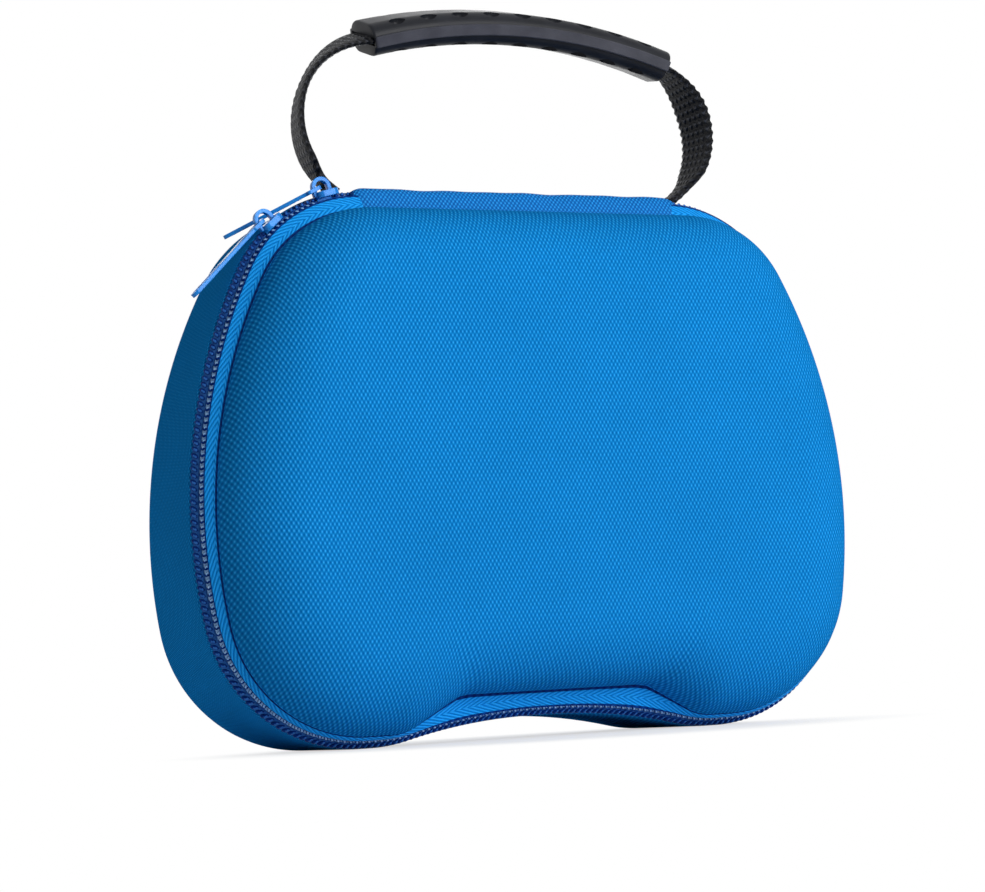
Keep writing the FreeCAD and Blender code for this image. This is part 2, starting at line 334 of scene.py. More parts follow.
def oxford_cloth():
    cloth = Finish("oxford_cloth")
    uv, across, along = cloth.cloth()
    weave = cloth.math("MULTIPLY", cloth.wave(across, FLOAT_PITCH), cloth.wave(along, 2 * FLOAT_ROW))
    weave = cloth.math("MULTIPLY_ADD", weave, 0.5, 0.5)
    yarn = cloth.noise(uv, YARN_SCALE)
    broad = cloth.noise(uv, BROAD_SCALE, 3.0)
    colour = cloth.ramp(weave, (0.0, (0.002, 0.115, 0.395)), (0.5, (0.0045, 0.19, 0.545)),
                        (0.82, (0.012, 0.28, 0.7)), (1.0, (0.035, 0.38, 0.82)))
    shade = cloth.math("MULTIPLY", cloth.spread(yarn, 0.82, 1.18), cloth.spread(broad, 0.9, 1.1))
    height = cloth.math("MULTIPLY_ADD", yarn, 0.3, weave)
    normal = cloth.bump(height, 0.16 * MM, 0.8)
    return cloth.done(cloth.tint(colour, shade), 0.6, normal, 0.0)


shell_cloth = oxford_cloth()

# %% [markdown]
# ## Lining
# Inside, such mouldings are faced with a plain dark knit. It shows only when the lid is open. Its loops are
# rows of small ovals, so a brick pattern with soft mortar is enough.

# %% Knit lining
LOOP_WIDTH, LOOP_HEIGHT, LOOP_GAP = 0.9 * MM, 0.7 * MM, 0.2 * MM


def knit_lining():
    knit = Finish("knit_lining")
    uv, _, _ = knit.cloth()
    values = {"Vector": uv, "Scale": 1.0, "Brick Width": LOOP_WIDTH, "Row Height": LOOP_HEIGHT,
              "Mortar Size": LOOP_GAP, "Mortar Smooth": 1.0}
    gaps = knit.add("ShaderNodeTexBrick", values, offset=0.5).outputs["Fac"]
    colour = knit.ramp(gaps, (0.0, (0.022, 0.025, 0.032)), (1.0, (0.008, 0.009, 0.012)))
    normal = knit.bump(knit.math("SUBTRACT", 1.0, gaps), 0.15 * MM, 0.7)
    return knit.done(colour, 0.8, normal, more={"Sheen Weight": 0.15})


lining = knit_lining()

# %% [markdown]
# ## Section outlines
# Seen from the front, every section of the case is the same chain of tangent arcs: a straight top, a round
# corner, a long side, a lobe with a short flat foot, a rise, a slant and a notch. Only the numbers change, so
# one function walks the chain like a turtle and gives the same number of points each time.

# %% Outline walk
TOP_HALF = 45.0 * MM
CORNER_RADIUS, CORNER_TURN = 36.5 * MM, 62.4
SIDE_RADIUS, SIDE_TURN = 141.0 * MM, 38.0
LOBE_RADIUS = 39.8 * MM
LOBE_TURN = 180 - CORNER_TURN - SIDE_TURN
SEAM_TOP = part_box("rear_shell")[1][2]
STEPS = (36, 48, 36, 4, 12, 8, 10)
TOP_STEPS, NOTCH_STEPS = 44, 24


def outline(y, inset, drop, foot, rise_radius, rise_turn, slant, notch_radius):
    chain = [(CORNER_RADIUS - inset, CORNER_TURN), (SIDE_RADIUS - inset, SIDE_TURN),
             (LOBE_RADIUS - inset, LOBE_TURN), (None, foot), (rise_radius, rise_turn),
             (None, slant), (notch_radius, -rise_turn)]
    place = Vector((-TOP_HALF, y, SEAM_TOP - inset - drop))
    heading = pi
    left = [place.copy()]
    for (radius, amount), count in zip(chain, STEPS):
        turn = 0.0 if radius is None else radians(amount) / count
        step = amount / count if radius is None else 2 * radius * sin(abs(turn) / 2)
        for _ in range(count):
            heading += turn / 2
            place = place + Vector((cos(heading), 0, sin(heading))) * step
            heading += turn / 2
            left.append(place.copy())
    right = [Vector((-p.x, p.y, p.z)) for p in reversed(left)]
    bottom = [left[-1].lerp(right[0], n / NOTCH_STEPS) for n in range(1, NOTCH_STEPS)]
    top = [right[-1].lerp(left[0], n / TOP_STEPS) for n in range(1, TOP_STEPS)]
    return left + bottom + right + top


print(f"top of the seam at {SEAM_TOP / MM:.1f} mm, lobes turn {LOBE_TURN:.1f} degrees")

# %% Seam and rim
SEAM_FOOT, SEAM_RISE_TURN, SEAM_SLANT, SEAM_NOTCH_RADIUS = 3.85 * MM, 13.8, 1 * MM, 149 * MM
RIM_INSET, RIM_FOOT, RIM_RISE_RADIUS = 4.8 * MM, 6 * MM, 14 * MM
# Drop, turn of the rise, slant and radius of the notch: each at the rim and at the face.
RIM_TO_FACE = ((1.7 * MM, -3.0 * MM), (30, 16), (12 * MM, 6 * MM), (8 * MM, 20 * MM))


def seam_ring(y, inset):
    return outline(y, inset, 0, SEAM_FOOT, LOBE_RADIUS - inset, SEAM_RISE_TURN, SEAM_SLANT,
                   SEAM_NOTCH_RADIUS + inset)


def rim_ring(y, inset, fade=0.0):
    """A front section; fade goes from 0 at the notched rim to 1 at the smooth face."""
    drop, rise_turn, slant, notch_radius = (rim + (face - rim) * fade for rim, face in RIM_TO_FACE)
    return outline(y, RIM_INSET + inset, drop, RIM_FOOT, RIM_RISE_RADIUS, rise_turn, slant, notch_radius)


def zipped(ring):
    """The part of a ring that the zip follows: all but the straight top."""
    return ring[:len(ring) - TOP_STEPS + 1]


print(f"each section has {len(seam_ring(0, 0))} points")

# %% [markdown]
# ## Moulded shells
# Each half is a foam shell pressed over a form, so it has one continuous skin: lining, rim, wall, a big round
# edge and a face with a slight crown. The skin is extruded ring by ring. The press stretches the cloth over
# the edge, so its coordinates advance less there than the surface does, and the floats draw out into stripes.

# %% Shell rings
WALL = 3.5 * MM
CROWN = 0.6 * MM
FRONT_DEPTH, FACE_INSET = 25 * MM, 21 * MM
REAR_DEPTH, REAR_ROUND, BACK_LEAN = 47 * MM, 13 * MM, tan(radians(5))
RIM = -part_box("front_zip_tape")[0][1]
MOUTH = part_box("rear_shell")[0][1]
MIDDLE = SEAM_TOP / 2
WALL_STEPS = 4
ROUND_ANGLES = (4, 9, 14, 20, 26, 33, 40, 47, 54, 61, 68, 75, 82, 90)
CAP_SCALES = (0.97, 0.92, 0.84, 0.72, 0.58, 0.44, 0.3, 0.17, 0.07)
# A lip's points: how far back from the rim and how far in, in millimetres.
ROLLED_LIP = ((0, 1.0), (0.12, 0.4), (0.4, 0.1), (0.8, 0))
PLAIN_LIP = ((0, 0), (0.8, 0))


def cap(face, crown):
    """Rings from the edge of a face to its middle, with a slight crown."""
    return [[Vector((p.x * scale, p.y + crown * (1 - scale * scale), MIDDLE + (p.z - MIDDLE) * scale))
             for p in face] for scale in CAP_SCALES]


def front_rings(skin, lip):
    reach, close = FRONT_DEPTH - RIM - CROWN - skin, FACE_INSET - skin
    rings = [rim_ring(-RIM - back * MM, skin + inset * MM) for back, inset in lip]
    for angle in ROUND_ANGLES:
        turn = radians(angle)
        rings.append(rim_ring(-RIM - reach * sin(turn), skin + close * (1 - cos(turn)), angle / 90))
    return rings + cap(rings[-1], -CROWN)


def rear_rings(skin, lip):
    radius, wall_end = REAR_ROUND - skin, REAR_DEPTH - REAR_ROUND
    rings = [seam_ring(MOUTH + back * MM, skin + inset * MM) for back, inset in lip]
    for step in range(1, WALL_STEPS + 1):
        rings.append(seam_ring(MOUTH + (wall_end - MOUTH) * step / WALL_STEPS, skin))
    for angle in ROUND_ANGLES:
        turn = radians(angle)
        rings.append(seam_ring(wall_end + (radius - CROWN) * sin(turn), skin + radius * (1 - cos(turn))))
    rings += cap(rings[-1], CROWN)
    for ring in rings:
        for p in ring:
            share = min((p.y - MOUTH) / (wall_end - MOUTH), 1.0)
            p.y -= (p.z - MIDDLE) * BACK_LEAN * share
    return rings


print("rings:", len(front_rings(0, ROLLED_LIP)), "in front,", len(rear_rings(0, ROLLED_LIP)), "behind")

# %% Stretched cloth
FRONT_GIVE, REAR_GIVE = 0.15, 0.9


def cloth_places(rings, give):
    """Cloth coordinates: flat on the face, drawn out along each column from the face's edge to the rim."""
    edge = len(rings) - len(CAP_SCALES) - 1
    places = [[(p.x, p.z) for p in ring] for ring in rings]
    for i, p in enumerate(rings[edge]):
        start, rim = Vector((p.x, p.z)), rings[0][i]
        way = (Vector((rim.x, rim.z)) - start).normalized()
        length = 0.0
        for k in range(edge - 1, -1, -1):
            step = rings[k][i] - rings[k + 1][i]
            length += give * step.length + (1 - give) * Vector((step.x, step.z)).length
            places[k][i] = tuple(start + way * length)
    return places


def lay_cloth(piece, places):
    """Writes the cloth coordinates ring by ring; the two drawn-in middles keep their own place."""
    mesh = bmesh.new()
    mesh.from_mesh(piece.data)
    around = mesh.verts.layers.int["around"]
    level = mesh.verts.layers.int["level"]
    cloth = mesh.loops.layers.uv.verify()
    for face in mesh.faces:
        for corner in face.loops:
            vert = corner.vert
            middle = vert[level] in (0, len(places) - 1)
            corner[cloth].uv = (vert.co.x, vert.co.z) if middle else places[vert[level]][vert[around]]
    mesh.to_mesh(piece.data)
    mesh.free()
    piece.data.uv_layers[0].name = "cloth"


print(f"cloth follows {FRONT_GIVE:.0%} of the front's depth and {REAR_GIVE:.0%} of the rear's")

# %% Shells


def shell(name, rings_of, give, body, node):
    outer, inner = rings_of(0, ROLLED_LIP), rings_of(WALL, PLAIN_LIP)
    rings = list(reversed(inner)) + outer
    piece = skin_rings(name, rings)
    close_ends(piece, 0, len(rings) - 1)
    face_outwards(piece)
    lay_cloth(piece, list(reversed(cloth_places(inner, give))) + cloth_places(outer, give))
    smooth(piece, 50)
    dress(piece, "shell_cloth", node, body, shell_cloth, lining)
    levels = piece.data.attributes["level"].data
    for face in piece.data.polygons:
        face.material_index = int(all(levels[v].value < len(inner) for v in face.vertices))


shell("front_shell_cloth", front_rings, FRONT_GIVE, "lid", "front_shell")
shell("rear_shell_cloth", rear_rings, REAR_GIVE, "case", "rear_shell")

# %% [markdown]
# ## Herringbone zip tape
# The zip's tape is woven in herringbone: narrow columns of slanting ridges that meet in a chevron. Its
# coordinates run along the zip and across from the coil. So a ridge is a wave of the length plus the slant
# times the distance from the tape's edge, which turns back at the chevron's spine. The sewn edges lie in a
# groove, and their own finish is painted dark, a painted shade for the groove, with stitches along it.

# %% Tape weave
CHEVRON_SPINE = 3.0 * MM
RIDGE_PITCH, RIDGE_SLANT = 1.95 * MM, 2.2
YARN_PITCH, SEAM_STITCH = 0.55 * MM, 2.2 * MM
FUZZ_SCALE = 1500.0


def herringbone():
    tape = Finish("herringbone_tape")
    uv, along, across = tape.cloth()
    column = tape.math("PINGPONG", across, CHEVRON_SPINE)
    ridge = tape.ripple(tape.math("MULTIPLY_ADD", column, RIDGE_SLANT, along), RIDGE_PITCH)
    stitch = tape.ripple(across, YARN_PITCH)
    fuzz = tape.noise(uv, FUZZ_SCALE)
    height = tape.math("MULTIPLY_ADD", stitch, 0.22, ridge)
    height = tape.math("MULTIPLY_ADD", fuzz, 0.2, height)
    colour = tape.ramp(ridge, (0.0, (0.002, 0.18, 0.62)), (0.3, (0.004, 0.3, 0.86)),
                       (1.0, (0.02, 0.4, 1.0)))
    shade = tape.math("MULTIPLY", tape.spread(fuzz, 0.85, 1.15), tape.spread(stitch, 0.93, 1.05))
    normal = tape.bump(height, 0.2 * MM, 0.8)
    return tape.done(tape.tint(colour, shade), 0.55, normal, 0.03)


def painted_seam_shade():
    """The tape's sewn edges: stitches, painted dark as a painted shade for their groove."""
    seam = Finish("painted_seam_shade")
    uv, along, _ = seam.cloth()
    stitch = seam.ripple(along, SEAM_STITCH)
    fuzz = seam.noise(uv, FUZZ_SCALE)
    # Painted shade: the seam's colour is much darker than the tape's and stands in for the shadow in its
    # groove.
    colour = seam.ramp(stitch, (0.0, (0.001, 0.02, 0.14)), (1.0, (0.002, 0.045, 0.24)))
    colour = seam.tint(colour, seam.spread(fuzz, 0.7, 1.3))
    normal = seam.bump(seam.math("ADD", stitch, fuzz), 0.15 * MM, 0.7)
    return seam.done(colour, 0.6, normal, 0.05)


zip_tape = herringbone()
tape_seam_shade = painted_seam_shade()

# %% [markdown]
# ## Zip tapes
# Each shell carries one half of the tape. The front one bridges from the coil to the shell's rim, and the
# rear one covers the rim's edge and laps inside. Both are a short closed section swept round the zip, so a
# grid is bent along the same outlines as the shells.

# %% Tape sweep


def swept_tape(name, lines, widths, seams, body, node):
    """Sweeps a closed section: lines holds one line of points along the zip for each corner of it."""
    walked = lengths_along(lines[0])

    def cloth(i, j):
        return walked[j], widths[i % len(lines)][j]

    piece = bend_grid(name, len(lines), len(lines[0]) - 1, lambda i, j: lines[i][j], cloth, seams)
    smooth(piece, 50)
    # The seam columns get the second finish, the painted groove shade.
    dress(piece, "zip_tape", node, body, zip_tape, tape_seam_shade)


print(f"the zip is {lengths_along(zipped(seam_ring(0, 0)))[-1] / MM:.0f} mm long")

# %% Front tape
COIL_EDGE, COIL_EDGE_INSET = 2.7 * MM, 1.95 * MM
TAPE_THICKNESS, TAPE_CROWN = 1.0 * MM, 0.25 * MM
OUTER_SHARES, INNER_SHARES = (0.0, 0.13, 0.28, 0.5, 0.72, 0.88, 1.0), (1.0, 0.5, 0.0)
LOBE_POINT = sum(STEPS[:3])


def beside(edge, rim):
    """Points of the rim across the tape from each point of its edge; between the lobes they share their x."""
    first, last = LOBE_POINT, len(edge) - 1 - LOBE_POINT
    matched = list(rim)
    k = first
    for j in range(first, last + 1):
        x = edge[j].x * rim[last].x / edge[last].x
        while k < last - 1 and rim[k + 1].x < x:
            k += 1
        share = min(max((x - rim[k].x) / (rim[k + 1].x - rim[k].x), 0.0), 1.0)
        matched[j] = rim[k].lerp(rim[k + 1], share)
    return matched


def front_tape():
    """Sweeps the crowned tape: the outer corners of its section first, then the inner ones."""
    lines, widths = [], []
    for share, deep in [(s, 0) for s in OUTER_SHARES] + [(s, 1) for s in INNER_SHARES]:
        crown = 0 if deep else TAPE_CROWN * 4 * share * (1 - share)
        sink = TAPE_THICKNESS * deep - crown
        edge = zipped(seam_ring(-COIL_EDGE, COIL_EDGE_INSET + sink))
        rim = beside(edge, zipped(rim_ring(-RIM, sink)))
        lines.append([a.lerp(b, share) for a, b in zip(edge, rim)])
        widths.append([(b - a).length * share for a, b in zip(edge, rim)])
    swept_tape("front_tape", lines, widths, (0, len(OUTER_SHARES) - 2), "lid", "front_zip_tape")


front_tape()

# %% Rear tape
# The section's corners: y and inset from the seam, in millimetres.
REAR_CORNERS = ((2.75, 0.9), (2.6, 2.0), (2.6, 4.5), (2.9, 4.9), (4.5, 4.9), (8.0, 4.9), (10.7, 4.9),
                (10.9, 4.5), (10.7, 3.75), (6.0, 3.75), (3.0, 3.75), (2.88, 0.9))


def rear_tape():
    lines = [zipped(seam_ring(y * MM, inset * MM)) for y, inset in REAR_CORNERS]
    across = lengths_along([Vector((y * MM, inset * MM)) for y, inset in REAR_CORNERS])
    widths = [[distance] * len(lines[0]) for distance in across]
    swept_tape("rear_tape", lines, widths, (0, 1), "case", "rear_zip_tape")


rear_tape()

# %% [markdown]
# ## Zip coil
# The chain is two nylon coils, one sewn to each tape, whose turns mesh. Each turn is a small slanting bead
# with a painted highlight on its top, brighter in front than behind. One bead is modelled and copied along
# each side, half a pitch apart, over a dark bed.
# The front coil starts past the upper slider, and up to there a bed beside the rear coil closes the gap.

# %% Coil nylon


def nylon(name, dark, light):
    coil = Finish(name)
    place = coil.place()
    mottle = coil.noise(place, 900.0)
    broad = coil.noise(place, 60.0)
    colour = coil.ramp(mottle, (0.25, dark), (0.75, light))
    rough = coil.spread(broad, 0.25, 0.42)
    return coil.done(colour, rough, coil.bump(mottle, 0.05 * MM, 0.5), 0.01)


coil_nylon = nylon("coil_nylon", (0.002, 0.022, 0.17), (0.006, 0.055, 0.3))
# Painted highlights: lighter copies of the nylon for the beads' top faces, brighter on the front row than
# behind.
rear_painted_glint = nylon("rear_painted_glint", (0.02, 0.12, 0.46), (0.05, 0.2, 0.6))
front_painted_glint = nylon("front_painted_glint", (0.2, 0.45, 0.85), (0.42, 0.66, 0.95))

# %% One bead
FRONT_BEAD = (0.62 * MM, 1.2 * MM, 0.8 * MM)
REAR_BEAD = (0.62 * MM, 1.5 * MM, 0.8 * MM)
# Where each bead's painted highlight starts: its tilt towards the front and its height on the bead.
GLINT_TILT, GLINT_HEIGHT = radians(38), 0.78


def bead(halves, painted_glint):
    """One turn of the coil; the faces on its outer front side get the painted highlight."""
    deselect()
    bpy.ops.mesh.primitive_uv_sphere_add(segments=8, ring_count=6, radius=1)
    piece = bpy.context.object
    piece.data.materials.append(coil_nylon)
    piece.data.materials.append(painted_glint)
    for face in piece.data.polygons:
        reach = -face.center.z * cos(GLINT_TILT) - face.center.y * sin(GLINT_TILT)
        face.material_index = int(reach > GLINT_HEIGHT)
    edit_all(piece)
    bpy.ops.transform.resize(value=halves)
    bpy.ops.object.mode_set(mode="OBJECT")
    return piece


def copies(pattern, places):
    """Joins one copy of the pattern's mesh at each place into one mesh."""
    mesh = bmesh.new()
    for place in places:
        copy = pattern.data.copy()
        copy.transform(place)
        mesh.from_mesh(copy)
        bpy.data.meshes.remove(copy)
    mesh.to_mesh(pattern.data)
    mesh.free()


print("bead halves:", FRONT_BEAD, REAR_BEAD)

# %% Chain line
COIL_PITCH = 1.65 * MM
COIL_LEAN, BEAD_SLANT = atan2(2.1, 5.2), radians(24)
CHAIN_INSET = 0.85 * MM
BED_TOP, BED_BOTTOM = 0.7 * MM, 1.6 * MM


def chain_inset(y):
    """How far the top of the leaning chain lies inside the seam."""
    return CHAIN_INSET - y * tan(COIL_LEAN)


def coil_places(y, depth, slant, start, phase):
    """Places along the zip, one pitch apart: x along it, y across, z inwards, leaning to face the front."""
    line = zipped(seam_ring(y, chain_inset(y) + depth))
    walked = lengths_along(line)
    places, want, k = [], start + phase, 0
    while want < walked[-1] - COIL_PITCH / 2:
        while walked[k + 1] < want:
            k += 1
        share = (want - walked[k]) / (walked[k + 1] - walked[k])
        along = (line[k + 1] - line[k]).normalized()
        axes = Matrix((along, Vector((0, 1, 0)), along.cross(Vector((0, 1, 0))))).transposed().to_4x4()
        turn = Matrix.Rotation(-COIL_LEAN, 4, "X") @ Matrix.Rotation(slant, 4, "Z")
        places.append(Matrix.Translation(line[k].lerp(line[k + 1], share)) @ axes @ turn)
        want += COIL_PITCH
    return places


def coil_bed(y0, y1, start, end=1.0):
    """The dark bed under the beads, between two lengths along the zip, which is shorter than a metre."""
    corners = ((y0, BED_TOP), (y1, BED_TOP), (y1, BED_BOTTOM), (y0, BED_BOTTOM))
    lines = [zipped(seam_ring(y, chain_inset(y) + sink)) for y, sink in corners]
    walked = lengths_along(lines[0])
    first = next(k for k, length in enumerate(walked) if length >= start)
    lines = [line[first:sum(length <= end for length in walked)] for line in lines]
    return bend_grid("bed", len(lines), len(lines[0]) - 1, lambda i, j: lines[i][j],
                     lambda i, j: (walked[first + j], i * MM))


print(f"chain pitch {COIL_PITCH / MM:.2f} mm")

# %% Coils
BEAD_GAP = 0.15 * MM
BED_SPAN, END_BED_SPAN = (0.35 * MM, 2.65 * MM), (-2.3 * MM, 0.3 * MM)
FRONT_START = (CORNER_RADIUS - 2 * MM) * radians(20.4)
REAR_START = 0.2 * MM


def coil(name, side, halves, start, phase, painted_glint, body, node):
    """One half of the chain, side -1 in front and 1 behind."""
    piece = bead(halves, painted_glint)
    piece.name = name
    copies(piece, coil_places(side * (halves[1] + BEAD_GAP), halves[2], side * BEAD_SLANT, start, phase))
    beds = [coil_bed(*sorted(side * y for y in BED_SPAN), start)]
    if side > 0:
        beds.append(coil_bed(*END_BED_SPAN, start, FRONT_START + COIL_PITCH))
    activate(piece)
    for bed in beds:
        bed.select_set(True)
    bpy.ops.object.join()
    smooth(piece, 60)
    dress(piece, "zip_coil", node, body, coil_nylon, painted_glint)


coil("front_coil", -1, FRONT_BEAD, FRONT_START, COIL_PITCH / 2, front_painted_glint, "lid", "front_zip_coil")
coil("rear_coil", 1, REAR_BEAD, REAR_START, COIL_PITCH, rear_painted_glint, "case", "rear_zip_coil")

# %% [markdown]
# ## Spine strip
# Along the top the zip stops and a woven strip joins the two shells as their hinge. It is cloth sewn down at
# both edges, so it is a bent grid with a few soft puckers; it is attached to no body.

# %% Spine weave
DIAMOND_PITCH, DIAMOND_SLANT = 1.15 * MM, 0.75


def diamond_weave():
    strip = Finish("spine_weave")
    uv, along, across = strip.cloth()
    rising = strip.wave(strip.math("MULTIPLY_ADD", across, DIAMOND_SLANT, along), DIAMOND_PITCH)
    falling = strip.wave(strip.math("MULTIPLY_ADD", across, -DIAMOND_SLANT, along), DIAMOND_PITCH)
    weave = strip.math("MULTIPLY_ADD", strip.math("ADD", rising, falling), 0.25, 0.5)
    fuzz = strip.noise(uv, FUZZ_SCALE)
    colour = strip.ramp(weave, (0.0, (0.002, 0.085, 0.36)), (0.5, (0.004, 0.165, 0.55)),
                        (1.0, (0.03, 0.36, 0.86)))
    colour = strip.tint(colour, strip.spread(fuzz, 0.85, 1.15))
    normal = strip.bump(strip.math("MULTIPLY_ADD", fuzz, 0.3, weave), 0.2 * MM, 0.8)
    return strip.done(colour, 0.58, normal, 0.08)


spine_weave = diamond_weave()

# %% Spine strip
# The strip's section from the front rim over the hinge line to the rear mouth: y and z in millimetres.
STRIP_PROFILE = ((-4.7, 136.3), (-4.55, 137.2), (-4.1, 138.7), (-3.55, 140.3), (-2.95, 141.9), (-2.2, 142.9),
                 (-1.1, 143.35), (0.2, 143.5), (1.6, 143.5), (2.6, 143.4), (2.9, 143.1))
STRIP_THICKNESS = 0.9 * MM
STRIP_STEPS = 110
STRIP_HALF = TOP_HALF + 1.6 * MM
END_LENGTH, END_DROP = 2.5 * MM, 0.8 * MM
# Each wave of the cloth: height and length in millimetres, phase and skew.
PUCKERS = ((0.09, 3.1, 1.3, 0.0), (0.06, 5.3, 0.0, 4.0), (0.07, 1.9, 0.0, 0.0))
PUCKER_SINK = 0.12 * MM


def pucker(x, share):
    """Soft waves of sewn cloth, highest in the middle of the strip's width."""
    waves = 0.0
    for height, length, phase, skew in PUCKERS:
        waves += height * sin(x / (length * MM) + phase + skew * share)
    return waves * MM * sin(pi * share) - PUCKER_SINK


def spine():
    profile = [Vector((0, y * MM, z * MM)) for y, z in STRIP_PROFILE]
    walked = lengths_along(profile)
    count = len(profile)
    normals = []
    for k in range(count):
        way = profile[min(k + 1, count - 1)] - profile[max(k - 1, 0)]
        normals.append(Vector((0, -way.z, way.y)).normalized())

    def place(i, j):
        k, sink = (i, 0.0) if i < count else (2 * count - 1 - i, STRIP_THICKNESS)
        x = -STRIP_HALF + 2 * STRIP_HALF * j / STRIP_STEPS
        share = walked[k] / walked[-1]
        end = min(1.0, (STRIP_HALF - abs(x)) / END_LENGTH)
        lift = pucker(x, share) - sink - END_DROP * (1 - end) ** 2
        return profile[k] + normals[k] * lift + Vector((x, 0, 0))

    def cloth(i, j):
        k = i if i < count else 2 * count - 1 - i
        return 2 * STRIP_HALF * j / STRIP_STEPS, walked[max(k, 0)]

    piece = bend_grid("spine_cloth", 2 * count, STRIP_STEPS, place, cloth)
    smooth(piece, 60)
    dress(piece, "zip_tape", "spine_strip", None, spine_weave)
    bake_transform(piece)


spine()

# %% [markdown]
# ## Carry handle
# The handle is one length of woven webbing, sewn in at both ends of the spine and run through a moulded
# grip. Its line is a chain of arcs: out from each root, round a bulge and in to the grip. A grid is bent
# along that line and narrowed where the webbing is folded at its roots. As in the photograph, the grip's
# front is rolled down a little, and both legs turn a few degrees.

# %% Handle line
ROOT_HALF, ROOT_LIFT = 48.8 * MM, 0.2 * MM
LEFT_BULGE, RIGHT_BULGE, BULGE_HEIGHT = 58.5 * MM, 59.2 * MM, 18 * MM
GRIP_HALF, GRIP_RISE, GRIP_SHIFT = 43.2 * MM, 46.4 * MM, 5.1 * MM
GRIP_LEAN, GRIP_RADIUS = radians(2.3), 148 * MM
LEFT_ROLL, RIGHT_ROLL = radians(24), radians(14)
WEB_Y = 4.5 * MM
LOWER_STEPS, UPPER_STEPS, INSIDE_STEPS = 40, 64, 60
grip_up = Vector((sin(GRIP_LEAN), 0, cos(GRIP_LEAN)))
grip_centre = Vector((GRIP_SHIFT, WEB_Y, SEAM_TOP + GRIP_RISE)) - grip_up * GRIP_RADIUS
grip_reach = asin(GRIP_HALF / GRIP_RADIUS)


def on_grip(angle, radius=GRIP_RADIUS):
    """A point over the grip's arc; the angle runs from left to right."""
    turn = GRIP_LEAN + angle
    return grip_centre + Vector((sin(turn), 0, cos(turn))) * radius


def grip_roll(angle):
    """The handle lies a little twisted: its front is rolled down, most of all at the left."""
    share = min(max((angle / grip_reach + 1) / 2, 0.0), 1.0)
    return LEFT_ROLL + (RIGHT_ROLL - LEFT_ROLL) * share


def leg_line(side, bulge, end):
    """Points of one leg from its root to the grip's end, side -1 on the left."""
    root_z = SEAM_TOP + ROOT_LIFT
    bulge_z = root_z + BULGE_HEIGHT
    line = []
    arcs = ((ROOT_HALF, root_z, LOWER_STEPS, True), (side * end.x, end.z, UPPER_STEPS, False))
    for x, z, count, lower in arcs:
        across, along = bulge - x, abs(z - bulge_z)
        radius, turn = (across ** 2 + along ** 2) / (2 * across), 2 * atan2(across, along)
        for n in range(count):
            angle = turn * (n / count - 1) if lower else turn * n / count
            x_here = bulge - radius + radius * cos(angle)
            line.append(Vector((side * x_here, WEB_Y, bulge_z + radius * sin(angle))))
    return line


left_leg = leg_line(-1, LEFT_BULGE, on_grip(-grip_reach))
right_leg = leg_line(1, RIGHT_BULGE, on_grip(grip_reach))
inside = [on_grip(grip_reach * (2 * n / INSIDE_STEPS - 1)) for n in range(INSIDE_STEPS + 1)]
handle_line = left_leg + inside + list(reversed(right_leg))
handle_walk = lengths_along(handle_line)
print(f"webbing is {handle_walk[-1] / MM:.0f} mm long")

# %% [markdown]
# ## Webbing
# Heavy webbing shows bars of thick weft between fine warp cords, and a zigzag selvedge. The bars are real
# ripples in the mesh, and the finish adds the yarns on top of them. The crests of the weave are painted
# light, a painted highlight.

# %% Webbing weave
WEFT_PITCH, WARP_PITCH = 2.2 * MM, 2.05 * MM


def black_webbing():
    web = Finish("black_webbing")
    uv, along, across = web.cloth()
    stagger = web.math("MULTIPLY", web.math("PINGPONG", across, WARP_PITCH / 2), 0.7)
    bars = web.wave(web.math("ADD", along, stagger), WEFT_PITCH)
    cords = web.wave(across, WARP_PITCH)
    weave = web.math("MULTIPLY_ADD", web.math("MULTIPLY_ADD", cords, 0.45, bars), 0.33, 0.5)
    yarn = web.noise(uv, 2200.0)
    # The top stop of the ramp paints the weave's crests light, a painted highlight on the yarns.
    colour = web.ramp(weave, (0.35, (0.002, 0.0024, 0.0036)), (0.72, (0.007, 0.008, 0.0115)),
                      (1.0, (0.06, 0.064, 0.078)))
    colour = web.tint(colour, web.spread(yarn, 0.6, 1.4))
    normal = web.bump(web.math("MULTIPLY_ADD", yarn, 0.35, weave), 0.45 * MM, 1.0)
    return web.done(colour, 0.5, normal, 0.16)


webbing_cloth = black_webbing()

# %% Webbing
WEB_HALF, WEB_THICK = 6.2 * MM, 0.9 * MM
WEB_ACROSS = 16
ROOT_HALF_WIDTH, ROOT_Y, ROOT_THICKENING = 2.95 * MM, 5.65 * MM, 0.25
FOLD_TOP, FULL_WIDTH_FROM = 2.5 * MM, 9 * MM
WEFT_RIPPLE, SELVEDGE_RIPPLE = 0.2 * MM, 0.28 * MM
LEFT_TWIST, RIGHT_TWIST = radians(8.5), radians(13.5)


def ease(value, low, high):
    """0 below low, 1 above high and smooth between."""
    share = min(max((value - low) / (high - low), 0.0), 1.0)
    return share * share * (3 - 2 * share)


